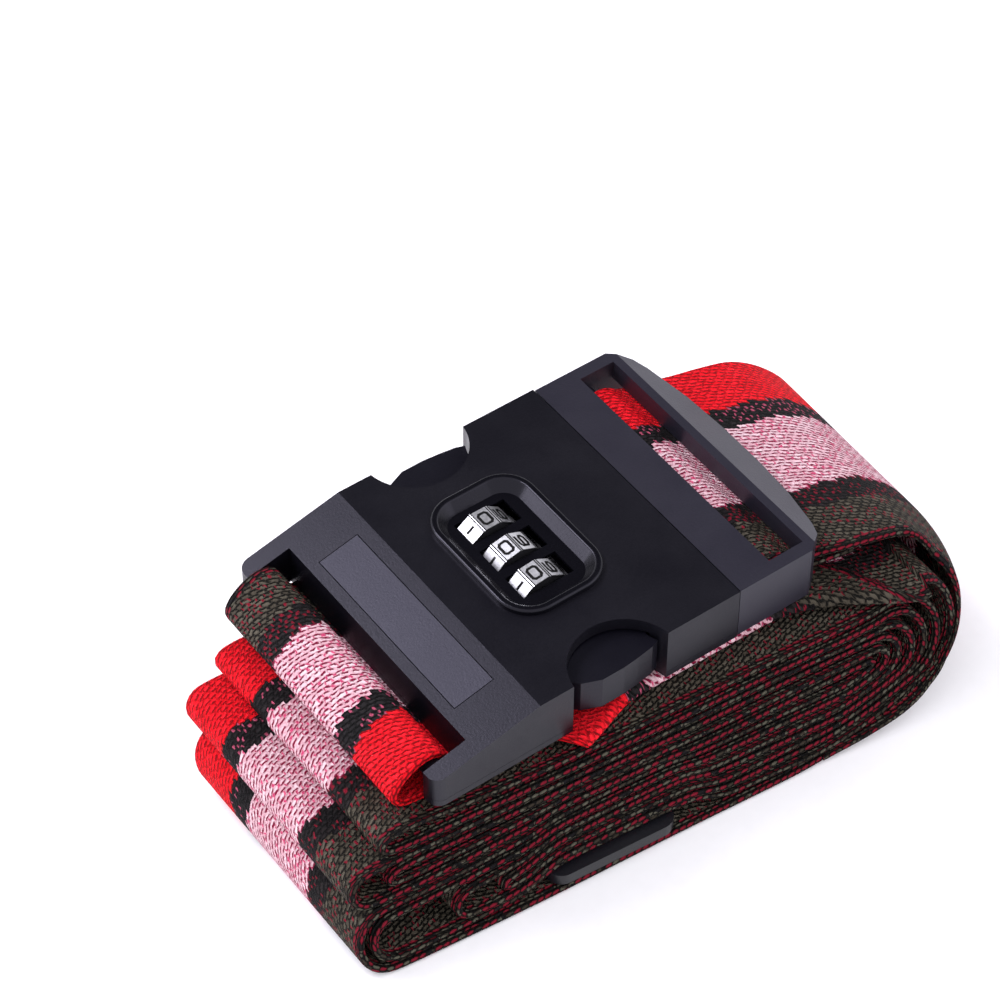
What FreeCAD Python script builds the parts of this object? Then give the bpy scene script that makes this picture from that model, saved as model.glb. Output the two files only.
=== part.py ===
"""Luggage strap: a combination-lock side-release buckle on a folded length of 50 mm webbing.

Row frame: +X runs along the buckle towards the plug, +Y across it, +Z up.  The origin lies on
the surface that the folded webbing rests on, straight below the line where plug and socket meet.
Buckle pieces are drawn in the buckle's own frame, whose z = 0 is the buckle's underside, and the
folded webbing in the bundle's own frame, whose x runs along the bundle.
"""
import FreeCAD, Part
import math
import os

import Sketcher

Vector = FreeCAD.Vector
ALONG_Y = FreeCAD.Rotation(Vector(1, 0, 0), -90)

# ---------------------------------------------------------------- driving dimensions, in mm
DIMENSIONS = [
    ("web_width", 50.0, "webbing width"),
    ("web_thick", 1.4, "webbing thickness"),
    ("bundle_top", 24.0, "top of the folded layers"),
    ("bundle_left", 78.0, "left ends of the long folds"),
    ("bundle_right", 42.0, "right end of the nested turns"),
    ("bundle_yaw", -5.14, "bundle's turn about Z, in degrees"),
    ("bundle_shift", 9.85, "bundle's middle, towards -Y at x = 0"),
    ("buckle_lift", 28.0, "buckle's underside above the resting surface"),
    ("buckle_high", 11.5, "buckle height"),
    ("buckle_half", 29.0, "half of the buckle's width"),
    ("socket_long", 62.5, "socket length, to the tips of the web arms"),
    ("slope_start", 41.5, "start of the sloping top"),
    ("tip_high", 6.5, "height of the web arms' tips"),
    ("notch_start", 54.0, "inner edge of the notch for the webbing"),
    ("notch_half", 25.6, "half of the notch's width"),
    ("web_bar_x", 59.6, "web bar's axis, towards -X"),
    ("web_bar_z", 4.2, "web bar's axis above the underside"),
    ("web_bar_r", 1.9, "web bar's radius"),
    ("cover_thick", 1.3, "lower cover's thickness"),
    ("shell_gap", 0.15, "gap between pieces that meet"),
    ("roof_under", 9.0, "underside of the socket's roof"),
    ("socket_half", 25.5, "half of the socket's inner width"),
    ("socket_deep", 38.0, "depth of the arms' channels"),
    ("rib_inner", 13.4, "inner face of the ribs that carry the axle"),
    ("rib_outer", 15.0, "outer face of the ribs"),
    ("mouth_deep", 12.0, "depth of the open mouth in front of the ribs"),
    ("window_x", 25.0, "centre of the finger windows, towards -X"),
    ("window_y", 30.3, "centre of the finger windows, from the middle"),
    ("window_r", 9.8, "radius of the finger windows"),
    ("lock_x", 24.9, "dial axis, towards -X"),
    ("lock_y", 1.75, "middle dial, from the buckle's middle"),
    ("lock_z", 6.55, "dial axis above the underside"),
    ("dial_pitch", 7.35, "distance between dials"),
    ("dial_wide", 4.6, "dial width"),
    ("dial_r", 5.6, "dial radius over the facets"),
    ("dial_bore", 2.35, "dial bore radius"),
    ("sleeve_r", 2.3, "code sleeve radius"),
    ("sleeve_bore", 1.25, "code sleeve bore radius"),
    ("sleeve_long", 7.1, "code sleeve length"),
    ("sleeve_flat", 1.7, "code sleeve's flat, from the axis"),
    ("axle_r", 1.2, "dial axle radius"),
    ("axle_half", 14.4, "half of the axle's length"),
    ("bezel_long", 20.4, "bezel rim along X"),
    ("bezel_wide", 30.2, "bezel rim along Y"),
    ("bezel_rise", 1.1, "bezel rim above the top"),
    ("bezel_corner", 6.5, "corner radius of the bezel rim"),
    ("bezel_floor", 10.6, "top of the bezel's sunken floor"),
    ("bezel_skin", 0.55, "thickness of the bezel's floor"),
    ("dial_slot", 10.4, "length of each dial's opening"),
    ("dial_slot_wide", 5.4, "width of each dial's opening"),
    ("label_long", 8.0, "label plate along the slope"),
    ("label_wide", 39.0, "label plate across the buckle"),
    ("label_thick", 0.6, "label plate thickness"),
    ("screw_x", 49.0, "cover screws, towards -X"),
    ("screw_x_step", 7.0, "distance between the rows of screws"),
    ("screw_y", 20.0, "cover screws, from the middle"),
    ("screw_r", 0.85, "screw shank radius"),
    ("screw_head_r", 1.6, "screw head radius"),
    ("screw_long", 5.0, "screw shank length"),
    ("button_x", 45.5, "code reset button, towards -X"),
    ("button_r", 1.6, "code reset button radius"),
    ("plug_high", 11.3, "plug height"),
    ("plug_half", 28.8, "half of the plug's width"),
    ("plug_end", 20.6, "plug's end at its corners"),
    ("plug_bulge", 2.6, "how far the end bows out in the middle"),
    ("slot_start", 8.2, "web slot, near side"),
    ("slot_stop", 15.5, "web slot, far side"),
    ("slot_half", 26.3, "half of the web slot's length"),
    ("end_bar_under", 7.2, "underside of the plug's end bar"),
    ("hood_under", 9.7, "underside of the hood over the ladder bar"),
    ("ladder_x", 9.9, "ladder bar's axis"),
    ("ladder_z", 6.0, "ladder bar's axis above the underside"),
    ("ladder_r", 1.7, "ladder bar's radius"),
    ("arm_low", 1.7, "underside of the release arms"),
    ("arm_high", 8.6, "top of the release arms"),
    ("slider_x", 29.5, "web slider's middle, towards -X"),
    ("slider_low", 1.75, "web slider's underside"),
    ("slider_thick", 2.4, "web slider's thickness"),
    ("slider_long", 25.0, "web slider along the webbing"),
    ("slider_drift", 2.5, "web slider's middle, towards -Y in the bundle"),
    ("slider_half", 29.5, "half of the web slider's width"),
]

doc = FreeCAD.newDocument("LuggageStrap")
sheet = doc.addObject("Spreadsheet::Sheet", "Dims")
for line, (alias, number, note) in enumerate(DIMENSIONS, start=1):
    sheet.set(f"A{line}", note)
    sheet.set(f"B{line}", str(number))
    sheet.setAlias(f"B{line}", alias)
doc.recompute()


class Size:
    """A length worked out from the sheet: its number, and the expression that gives it."""

    def __init__(self, number, text):
        self.number = number
        self.text = text

    def __add__(self, other):
        other = as_size(other)
        return Size(self.number + other.number, f"({self.text} + {other.text})")

    def __sub__(self, other):
        other = as_size(other)
        return Size(self.number - other.number, f"({self.text} - {other.text})")

    def __mul__(self, other):
        other = as_size(other)
        return Size(self.number * other.number, f"({self.text} * {other.text})")

    def __neg__(self):
        return self * -1

    __radd__ = __add__
    __rmul__ = __mul__


def as_size(thing):
    """A plain number becomes a Size, so that the two can be mixed."""
    if isinstance(thing, Size):
        return thing
    return Size(float(thing), f"({thing})")


def dim(alias):
    """The sheet's cell with this alias."""
    return Size(float(sheet.get(alias)), f"Dims.{alias}")


D = {alias: dim(alias) for alias, number, note in DIMENSIONS}


# ---------------------------------------------------------------- helpers for features
def bind(item, prop, size):
    """Give a property its size, bound to the sheet."""
    item.setExpression(prop, as_size(size).text)


def stand(item, x=0, y=0, z=0):
    """Bind an object's place to the sheet."""
    for axis, size in zip("xyz", (x, y, z)):
        bind(item, f"Placement.Base.{axis}", size)


def new_body(label, on_buckle=True):
    """A PartDesign body, lifted to the buckle's height when it belongs to the buckle."""
    body = doc.addObject("PartDesign::Body", label)
    body.Label = label
    if on_buckle:
        stand(body, z=D["buckle_lift"])
    return body


def new_sketch(body, plane, lift=0):
    """A sketch on one of the body's origin planes, shifted along the plane's normal."""
    sketch = body.newObject("Sketcher::SketchObject", f"{body.Label}_sketch")
    base = [item for item in body.Origin.OriginFeatures if item.Role == plane][0]
    sketch.AttachmentSupport = [(base, "")]
    sketch.MapMode = "FlatFace"
    bind(sketch, "AttachmentOffset.Base.z", lift)
    return sketch


def polygon(body, plane, corners, lift=0):
    """A closed outline whose every corner is placed by two sizes from the origin."""
    sketch = new_sketch(body, plane, lift)
    sizes = [(as_size(x), as_size(y)) for x, y in corners]
    spots = [Vector(x.number, y.number, 0) for x, y in sizes]
    count = len(spots)
    for i in range(count):
        sketch.addGeometry(Part.LineSegment(spots[i], spots[(i + 1) % count]), False)
    for i in range(count):
        sketch.addConstraint(Sketcher.Constraint("Coincident", i, 2, (i + 1) % count, 1))
    for i, (x, y) in enumerate(sizes):
        for kind, size in (("DistanceX", x), ("DistanceY", y)):
            mark = sketch.addConstraint(Sketcher.Constraint(kind, -1, 1, i, 1, size.number))
            sketch.setExpression(f"Constraints[{mark}]", size.text)
    return sketch


def circles(body, plane, spots, radius, lift=0):
    """Circles of one radius, each centre placed by two sizes from the origin."""
    sketch = new_sketch(body, plane, lift)
    radius = as_size(radius)
    for i, (x, y) in enumerate(spots):
        x, y = as_size(x), as_size(y)
        centre = Vector(x.number, y.number, 0)
        sketch.addGeometry(Part.Circle(centre, Vector(0, 0, 1), radius.number), False)
        for kind, size in (("DistanceX", x), ("DistanceY", y)):
            mark = sketch.addConstraint(Sketcher.Constraint(kind, -1, 1, i, 3, size.number))
            sketch.setExpression(f"Constraints[{mark}]", size.text)
        mark = sketch.addConstraint(Sketcher.Constraint("Radius", i, radius.number))
        sketch.setExpression(f"Constraints[{mark}]", radius.text)
    return sketch


def rectangle(x_low, x_high, y_low, y_high):
    return [(x_low, y_low), (x_high, y_low), (x_high, y_high), (x_low, y_high)]


def rounded(body, sides, radius, lift=0):
    """A rectangle with round corners, each side placed by its distance from the origin."""
    sketch = new_sketch(body, "XY_Plane", lift)
    x_low, x_high, y_low, y_high = (as_size(side) for side in sides)
    radius = as_size(radius)
    a, b, c, d = x_low.number, x_high.number, y_low.number, y_high.number
    r = radius.number
    runs = [((a + r, c), (b - r, c)), ((b, c + r), (b, d - r)),
            ((b - r, d), (a + r, d)), ((a, d - r), (a, c + r))]
    for start, stop in runs:
        sketch.addGeometry(Part.LineSegment(Vector(*start, 0), Vector(*stop, 0)), False)
    for k, spot in enumerate([(b - r, c + r), (b - r, d - r), (a + r, d - r), (a + r, c + r)]):
        turn = (k - 1) * math.pi / 2
        circle = Part.Circle(Vector(*spot, 0), Vector(0, 0, 1), r)
        sketch.addGeometry(Part.ArcOfCircle(circle, turn, turn + math.pi / 2), False)
    for k in range(4):
        sketch.addConstraint(Sketcher.Constraint("Tangent", k, 2, 4 + k, 1))
        sketch.addConstraint(Sketcher.Constraint("Tangent", 4 + k, 2, (k + 1) % 4, 1))
        sketch.addConstraint(Sketcher.Constraint(("Horizontal", "Vertical")[k % 2], k))
        if k:
            sketch.addConstraint(Sketcher.Constraint("Equal", 4, 4 + k))
    places = [("DistanceX", 3, x_low), ("DistanceX", 1, x_high),
              ("DistanceY", 0, y_low), ("DistanceY", 2, y_high)]
    for kind, line, size in places:
        mark = sketch.addConstraint(Sketcher.Constraint(kind, -1, 1, line, 1, size.number))
        sketch.setExpression(f"Constraints[{mark}]", size.text)
    mark = sketch.addConstraint(Sketcher.Constraint("Radius", 4, r))
    sketch.setExpression(f"Constraints[{mark}]", radius.text)
    return sketch


def pad(body, sketch, length, both_ways=False):
    feature = body.newObject("PartDesign::Pad", f"{body.Label}_pad")
    feature.Profile = sketch
    feature.Midplane = both_ways
    bind(feature, "Length", length)
    return feature


def pocket(body, sketch, length, both_ways=False, upwards=False):
    """Cut, and make sure that something was cut."""
    doc.recompute()
    before = body.Shape.Volume
    feature = body.newObject("PartDesign::Pocket", f"{body.Label}_pocket")
    feature.Profile = sketch
    feature.Midplane = both_ways
    feature.Reversed = upwards
    bind(feature, "Length", length)
    doc.recompute()
    if not body.Shape.Volume < before - 1e-3:
        raise RuntimeError(f"{feature.Name} cut nothing from {body.Label}")
    return feature


def round_edges(body, radius, choose):
    """Fillet the edges that choose picks."""
    doc.recompute()
    last = body.Tip
    names = [f"Edge{i}" for i, edge in enumerate(last.Shape.Edges, start=1) if choose(edge)]
    feature = body.newObject("PartDesign::Fillet", f"{body.Label}_fillet")
    feature.Base = (last, names)
    bind(feature, "Radius", radius)
    doc.recompute()
    return feature


def is_upright(edge):
    """True for a straight edge along Z."""
    box = edge.BoundBox
    return box.ZLength > 0.5 and box.XLength < 1e-3 and box.YLength < 1e-3


def is_tip_corner(edge):
    """True for the upright edges at the outer corners of the web arms' tips."""
    box = edge.BoundBox
    at_tip = box.XMin < 0.1 - D["socket_long"].number
    return is_upright(edge) and at_tip and abs(box.YMin) > D["buckle_half"].number - 0.1


def cylinder_y(label, radius, length, x, y_middle, z):
    """A Part cylinder along Y."""
    rod = doc.addObject("Part::Cylinder", label)
    rod.Placement = FreeCAD.Placement(Vector(), ALONG_Y)
    bind(rod, "Radius", radius)
    bind(rod, "Height", length)
    stand(rod, x, y_middle - as_size(length) * 0.5, z)
    return rod


def cylinder_z(label, radius, length, x, y, z):
    """A Part cylinder along Z that starts at z."""
    rod = doc.addObject("Part::Cylinder", label)
    bind(rod, "Radius", radius)
    bind(rod, "Height", length)
    stand(rod, x, y, z)
    return rod


def block(label, x, y, z):
    """A Part box between the two limits given for each axis."""
    box = doc.addObject("Part::Box", label)
    for prop, (low, high) in zip(("Length", "Width", "Height"), (x, y, z)):
        bind(box, prop, as_size(high) - low)
    stand(box, x[0], y[0], z[0])
    return box


def cut(label, base, tool):
    result = doc.addObject("Part::Cut", label)
    result.Base = base
    result.Tool = tool
    return result


def join(label, pieces):
    result = doc.addObject("Part::MultiFuse", label)
    result.Shapes = pieces
    return result


def group(label, pieces):
    """Separate identical solids under one name."""
    result = doc.addObject("Part::Compound", label)
    result.Links = pieces
    return result


# ---------------------------------------------------------------- socket half of the buckle
def upper_shell():
    """The socket's top moulding, with the sloping tail, web arms, web bar and axle ribs."""
    body = new_body("upper_shell")
    low = D["cover_thick"] + D["shell_gap"] * 0.4
    profile = [
        (-D["shell_gap"], low),
        (-D["shell_gap"], D["buckle_high"]),
        (-D["slope_start"], D["buckle_high"]),
        (-D["socket_long"], D["tip_high"]),
        (-D["socket_long"], low),
    ]
    pad(body, polygon(body, "XZ_Plane", profile), D["buckle_half"] * 2, both_ways=True)

    windows = [(-D["window_x"], D["window_y"]), (-D["window_x"], -D["window_y"])]
    pocket(body, circles(body, "XY_Plane", windows, D["window_r"]), 40, both_ways=True)
    notch = rectangle(-D["socket_long"] - 5, -D["notch_start"], -D["notch_half"], D["notch_half"])
    pocket(body, polygon(body, "XY_Plane", notch), 40, both_ways=True)

    inner_rooms = [
        rectangle(-D["socket_deep"], 5, D["rib_outer"], D["socket_half"]),
        rectangle(-D["socket_deep"], 5, -D["socket_half"], -D["rib_outer"]),
        rectangle(-D["socket_deep"], 5, -D["rib_inner"] + D["lock_y"], D["rib_inner"]),
        rectangle(-D["mouth_deep"], 5, -D["socket_half"], D["socket_half"]),
        rectangle(-D["socket_deep"], -D["slope_start"] + 7.8, -D["socket_half"], D["socket_half"]),
        rectangle(-D["socket_deep"] - 3.6, -D["socket_deep"] + 1, -1.6, 1.6),
    ]
    for room in inner_rooms:
        pocket(body, polygon(body, "XY_Plane", room, lift=D["roof_under"]), D["roof_under"])

    pocket(body, bezel_outline(body, -0.9), 40, both_ways=True)

    low_end = D["label_long"] + 44.0
    label_seat = [
        (-low_end, slope_height(low_end) - D["label_thick"]),
        (-Size(44.0, "44"), slope_height(44.0) - D["label_thick"]),
        (-Size(44.0, "44"), slope_height(44.0) + 2),
        (-low_end, slope_height(low_end) + 2),
    ]
    seat_width = D["label_wide"] + D["shell_gap"] * 2
    pocket(body, polygon(body, "XZ_Plane", label_seat), seat_width, both_ways=True)

    axle_hole = circles(body, "XZ_Plane", [(-D["lock_x"], D["lock_z"])], D["axle_r"] + 0.05)
    pocket(body, axle_hole, (D["axle_half"] + 0.3) * 2, both_ways=True)
    pilot = circles(body, "XY_Plane", screw_spots(), D["screw_r"] + 0.02, lift=D["screw_long"] + 2)
    pocket(body, pilot, D["screw_long"] + 2)
    well = circles(body, "XY_Plane", [(-D["button_x"], 0)], D["button_r"] + 0.1, lift=5.5)
    pocket(body, well, 5.5)

    bar = circles(body, "XZ_Plane", [(-D["web_bar_x"], D["web_bar_z"])], D["web_bar_r"])
    pad(body, bar, (D["notch_half"] + 1) * 2, both_ways=True)

    round_edges(body, 2.2, is_tip_corner)
    return body


def slope_height(x):
    """Height of the sloping top, at a distance x from the split line towards the tips."""
    fall = (D["buckle_high"].number - D["tip_high"].number)
    run = D["socket_long"].number - D["slope_start"].number
    rate = Size(fall / run, "((Dims.buckle_high - Dims.tip_high)"
                            " / (Dims.socket_long - Dims.slope_start))")
    return D["buckle_high"] - (as_size(x) - D["slope_start"]) * rate


def bezel_outline(body, margin, lift=0):
    """The bezel's outline, grown by margin on every side."""
    half_x = D["bezel_long"] * 0.5 + margin
    half_y = D["bezel_wide"] * 0.5 + margin
    x, y = -D["lock_x"] + 0.8, D["lock_y"] - 0.35
    sides = (x - half_x, x + half_x, y - half_y, y + half_y)
    return rounded(body, sides, D["bezel_corner"] + margin, lift)


def screw_spots():
    """Centres of the four cover screws."""
    near = -D["screw_x"] + D["screw_x_step"]
    spots = []
    for x in (-D["screw_x"], near):
        for y in (-D["screw_y"], D["screw_y"]):
            spots.append((x, y))
    return spots


def lower_cover():
    """The socket's flat underside, which closes the lock and the arms' channels."""
    body = new_body("lower_cover")
    outline = [
        (-D["shell_gap"], -D["buckle_half"]), (-D["shell_gap"], D["buckle_half"]),
        (-D["socket_long"], D["buckle_half"]), (-D["socket_long"], D["notch_half"]),
        (-D["notch_start"], D["notch_half"]), (-D["notch_start"], -D["notch_half"]),
        (-D["socket_long"], -D["notch_half"]), (-D["socket_long"], -D["buckle_half"]),
    ]
    pad(body, polygon(body, "XY_Plane", outline), D["cover_thick"])
    windows = [(-D["window_x"], D["window_y"]), (-D["window_x"], -D["window_y"])]
    pocket(body, circles(body, "XY_Plane", windows, D["window_r"]), 40, both_ways=True)
    dial_well = rectangle(-D["lock_x"] - 5, -D["lock_x"] + 5, -D["rib_inner"] + 1, D["rib_inner"])
    pocket(body, polygon(body, "XY_Plane", dial_well, lift=D["cover_thick"]), 0.7)
    heads = circles(body, "XY_Plane", screw_spots(), D["screw_head_r"] + 0.1, lift=0.7)
    pocket(body, heads, 0.7)
    shanks = circles(body, "XY_Plane", screw_spots(), D["screw_r"] + 0.1)
    pocket(body, shanks, 10, both_ways=True)
    button = circles(body, "XY_Plane", [(-D["button_x"], 0)], D["button_r"] + 0.1)
    pocket(body, button, 10, both_ways=True)
    round_edges(body, 2.2, is_tip_corner)
    return body


def label_plate():
    """The blank plate let into the sloping tail."""
    body = new_body("label_plate")
    high_end = 44.0 + D["shell_gap"]
    low_end = D["label_long"] + 44.0 - D["shell_gap"]
    under = D["label_thick"] - 0.05
    profile = [
        (-low_end, slope_height(low_end) - under), (-high_end, slope_height(high_end) - under),
        (-high_end, slope_height(high_end)), (-low_end, slope_height(low_end)),
    ]
    pad(body, polygon(body, "XZ_Plane", profile), D["label_wide"], both_ways=True)
    return body


def dial_bezel():
    """The raised rim and sunken floor around the dials."""
    body = new_body("dial_bezel")
    top = D["buckle_high"] + D["bezel_rise"]
    under = D["bezel_floor"] - D["bezel_skin"]
    seat = bezel_outline(body, -D["shell_gap"] - 0.9, lift=under)
    pad(body, seat, top - under)
    rim = bezel_outline(body, 0, lift=D["buckle_high"] + 0.02)
    pad(body, rim, D["bezel_rise"] - 0.02)
    well = bezel_outline(body, -2.9, lift=D["bezel_floor"])
    sink = pocket(body, well, top - D["bezel_floor"], upwards=True)
    sink.TaperAngle = 40
    for step in (-1, 0, 1):
        y = D["lock_y"] + D["dial_pitch"] * step
        half_x, half_y = D["dial_slot"] * 0.5, D["dial_slot_wide"] * 0.5
        x = -D["lock_x"] + 0.5
        slot = rectangle(x - half_x, x + half_x, y - half_y, y + half_y)
        pocket(body, polygon(body, "XY_Plane", slot), 60, both_ways=True)

    def on_rim(edge):
        box = edge.BoundBox
        return box.ZLength < 1e-3 and box.ZMin > top.number - 0.01

    round_edges(body, 0.5, on_rim)
    return body


# ---------------------------------------------------------------- combination lock
def dial_axle():
    """The steel rod that carries the dials, held in the socket's two ribs."""
    rod = cylinder_y("dial_axle", D["axle_r"], D["axle_half"] * 2, -D["lock_x"], as_size(0),
                     D["buckle_lift"] + D["lock_z"])
    rod.Label = "dial_axle"
    return rod


def number_dial(number):
    """A ten-sided number ring with its bore."""
    label = f"number_dial_{number}"
    y = D["lock_y"] + D["dial_pitch"] * (2 - number)
    ring = doc.addObject("Part::Prism", f"{label}_ring")
    ring.Polygon = 10
    bind(ring, "Circumradius", D["dial_r"])
    bind(ring, "Height", D["dial_wide"])
    ring.Placement = FreeCAD.Placement(Vector(), FreeCAD.Rotation(ALONG_Y))
    z = D["buckle_lift"] + D["lock_z"]
    stand(ring, -D["lock_x"], y - D["dial_wide"] * 0.5, z)
    bore = cylinder_y(f"{label}_bore", D["dial_bore"], D["dial_wide"] + 2, -D["lock_x"], y, z)
    return cut(label, ring, bore)


def code_sleeve(number):
    """The sleeve inside a dial, with a flat at its free end that lets the lock slider move."""
    label = f"code_sleeve_{number}"
    y = D["lock_y"] + D["dial_pitch"] * (2 - number)
    z = D["buckle_lift"] + D["lock_z"]
    middle = y + D["dial_wide"] * 0.5 - 0.1 - D["sleeve_long"] * 0.5
    tube = cylinder_y(f"{label}_tube", D["sleeve_r"], D["sleeve_long"], -D["lock_x"], middle, z)
    face_x = -D["lock_x"] + D["sleeve_flat"]
    end = y - D["dial_wide"] * 0.5 - 0.1
    flat = block(f"{label}_flat", (face_x, face_x + 3), (end - 3, end), (z - 5, z + 5))
    bore = cylinder_y(f"{label}_bore", D["sleeve_bore"], 20, -D["lock_x"], y, z)
    return cut(label, cut(f"{label}_notched", tube, flat), bore)


def detent_spring():
    """A comb-shaped leaf spring whose three fingers rest by the dials."""
    z = D["buckle_lift"] + D["cover_thick"] + 0.2
    x = -D["lock_x"] + D["dial_r"] + 0.35
    y_low = D["lock_y"] - D["dial_pitch"] * 1.5
    y_high = D["lock_y"] + D["dial_pitch"] * 1.5
    pieces = [block("detent_spring_root", (x, x + 3.2), (y_low, y_high), (z, z + 0.35))]
    for step in (-1, 0, 1):
        y = D["lock_y"] + D["dial_pitch"] * step
        name = f"detent_spring_finger{step + 2}"
        pieces.append(block(name, (x, x + 0.35), (y - 1.8, y + 1.8), (z, z + 5.6)))
    return join("detent_spring", pieces)


def lock_slider():
    """The slider behind the arms' tips: a wedged plate with three hooked fingers.

    Squeezing the arms drives it back, and its hooks close on the sleeves of the dials.
    """
    body = new_body("lock_slider")
    back = -D["socket_deep"] + 0.8
    front = -D["socket_deep"] + 3.15
    bottom, high = D["cover_thick"] + 1.0, 5.0
    plate = [
        (back, -20.6), (front, -20.6), (front + 0.65, -15.6), (front + 0.65, 15.6),
        (front, 20.6), (back, 20.6),
    ]
    pad(body, polygon(body, "XY_Plane", plate, lift=bottom), high)
    hook = -D["lock_x"] + D["sleeve_r"] + 0.9
    for step in (-1, 0, 1):
        y = D["lock_y"] + D["dial_pitch"] * (step - 0.5)
        finger = rectangle(front, hook + 1.0, y - 0.5, y + 0.5)
        pad(body, polygon(body, "XY_Plane", finger, lift=bottom), 1.4)
        tooth = rectangle(hook, hook + 1.0, y - 0.5, y + 0.5)
        pad(body, polygon(body, "XY_Plane", tooth, lift=bottom), high)
    return body


def coil_spring(label, radius, wire_radius, length, turns, place):
    """A small compression spring: a six-sided wire swept along a helix of short runs."""
    steps = 12
    turn_angle = 2 * math.pi / steps
    spine = []
    for i in range(turns * steps + 1):
        spot = Vector(radius * math.cos(turn_angle * i), radius * math.sin(turn_angle * i), 0)
        spine.append(spot + Vector(0, 0, length * i / (turns * steps)))
    along = (spine[1] - spine[0]).normalize()
    out = (Vector(1, 0, 0) - along * along.x).normalize()
    up = along.cross(out)
    ring = []
    for k in range(7):
        angle = math.pi * k / 3
        ring.append(spine[0] + (out * math.cos(angle) + up * math.sin(angle)) * wire_radius)
    mitred = 1
    spring = doc.addObject("Part::Feature", label)
    spring.Label = label
    wire = Part.makePolygon(spine)
    spring.Shape = wire.makePipeShell([Part.makePolygon(ring)], True, False, mitred)
    spring.Placement = place
    return spring


def lock_spring():
    """The spring that holds the lock slider against the arms."""
    x = -D["socket_deep"].number + 0.5
    place = FreeCAD.Placement(
        Vector(x, 0, D["buckle_lift"].number + 4.5), FreeCAD.Rotation(Vector(0, 1, 0), -90))
    return coil_spring("lock_spring", 1.0, 0.2, 3.7, 5, place)


def reset_button():
    """The small button in the underside that lets the code be changed."""
    base = D["buckle_lift"] + 0.1
    stem = cylinder_z("reset_button_stem", D["button_r"], 3.0, -D["button_x"], 0, base)
    groove = block("reset_button_groove", (-D["button_x"] - 2, -D["button_x"] + 2), (-0.3, 0.3),
                   (base - 0.5, base + 0.5))
    return cut("reset_button", stem, groove)


def reset_spring():
    """The spring behind the code reset button."""
    place = FreeCAD.Placement(
        Vector(-D["button_x"].number, 0, D["buckle_lift"].number + 3.45), FreeCAD.Rotation())
    return coil_spring("reset_spring", 1.0, 0.2, 1.6, 4, place)


def cover_screws():
    """Four self-tapping screws that hold the lower cover."""
    screws = []
    for number, (x, y) in enumerate(screw_spots(), start=1):
        base = D["buckle_lift"] + 0.05
        head = cylinder_z(f"screw_head_{number}", D["screw_head_r"], 0.6, x, y, base)
        shank = cylinder_z(f"screw_shank_{number}", D["screw_r"], D["screw_long"], x, y, base)
        cross = block(f"screw_cross_{number}", (x - 1.1, x + 1.1), (y - 0.2, y + 0.2),
                      (base - 0.3, base + 0.3))
        screws.append(cut(f"cover_screw_{number}", join(f"screw_blank_{number}", [head, shank]),
                          cross))
    return group("cover_screws", screws)


# ---------------------------------------------------------------- plug half of the buckle
def plug_frame():
    """The plug's frame with its web slot, ladder bar and guide tongue."""
    body = new_body("plug_frame")
    start = D["shell_gap"]
    outline = [
        (start, -D["plug_half"]), (D["plug_end"] - 5, -D["plug_half"]),
        (D["plug_end"] - 1.2, -D["plug_half"] + 3.2), (D["plug_end"], -D["plug_half"] + 6),
        (D["plug_end"] + D["plug_bulge"] * 0.72, -14), (D["plug_end"] + D["plug_bulge"], -5),
        (D["plug_end"] + D["plug_bulge"], 5), (D["plug_end"] + D["plug_bulge"] * 0.72, 14),
        (D["plug_end"], D["plug_half"] - 6), (D["plug_end"] - 1.2, D["plug_half"] - 3.2),
        (D["plug_end"] - 5, D["plug_half"]), (start, D["plug_half"]),
    ]
    pad(body, polygon(body, "XY_Plane", outline), D["plug_high"])
    slot = rectangle(D["slot_start"], D["slot_stop"], -D["slot_half"], D["slot_half"])
    pocket(body, polygon(body, "XY_Plane", slot), 60, both_ways=True)
    throat = rectangle(2.4, D["plug_end"] + 10, -D["slot_half"], D["slot_half"])
    pocket(body, polygon(body, "XY_Plane", throat, lift=D["end_bar_under"]), 20)
    hood = rectangle(2.4, D["slot_start"] + 0.5, -D["slot_half"], D["slot_half"])
    pocket(body, polygon(body, "XY_Plane", hood, lift=D["hood_under"]), 20)
    bevel_low = D["plug_high"] - 3.6
    bevel = [
        (D["slot_stop"] + 1.6, D["plug_high"] + 0.01), (D["plug_end"] + 9, bevel_low - 3),
        (D["plug_end"] + 9, D["plug_high"] + 3), (D["slot_stop"] + 1.6, D["plug_high"] + 3),
    ]
    pocket(body, polygon(body, "XZ_Plane", bevel), 80, both_ways=True)
    bar = circles(body, "XZ_Plane", [(D["ladder_x"], D["ladder_z"])], D["ladder_r"])
    pad(body, bar, (D["slot_half"] + 1) * 2, both_ways=True)
    tongue = rectangle(-D["mouth_deep"] + 1.2, start + 0.5, -13.0, 13.0)
    pad(body, polygon(body, "XY_Plane", tongue, lift=2.0), 6.4)
    for side in (-1, 1):
        root = rectangle(-1.0, start + 0.5, 16.4 * side, 21.8 * side)
        pad(body, polygon(body, "XY_Plane", root, lift=D["arm_low"] + 0.4), 6.0)
    return body


def release_arm(side, label):
    """One of the two springy arms, with its catch and the thumb button at its end."""
    body = new_body(label)
    outline = [
        (-1.25, 16.4), (-1.25, 21.8), (-16.75, 22.4), (-16.75, 25.6), (-16.1, 27.3),
        (-17.6, 27.9), (-21.0, 28.4), (-24.0, 28.7), (-28.5, 28.7), (-32.0, 27.3),
        (-34.3, 24.2), (-34.6, 20.8), (-32.5, 20.2), (-16.0, 18.6), (-9.0, 17.6),
    ]
    corners = [(x, as_size(y) * side) for x, y in outline]
    sketch = polygon(body, "XY_Plane", corners, lift=D["arm_low"])
    pad(body, sketch, D["arm_high"] - D["arm_low"])
    return body


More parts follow.
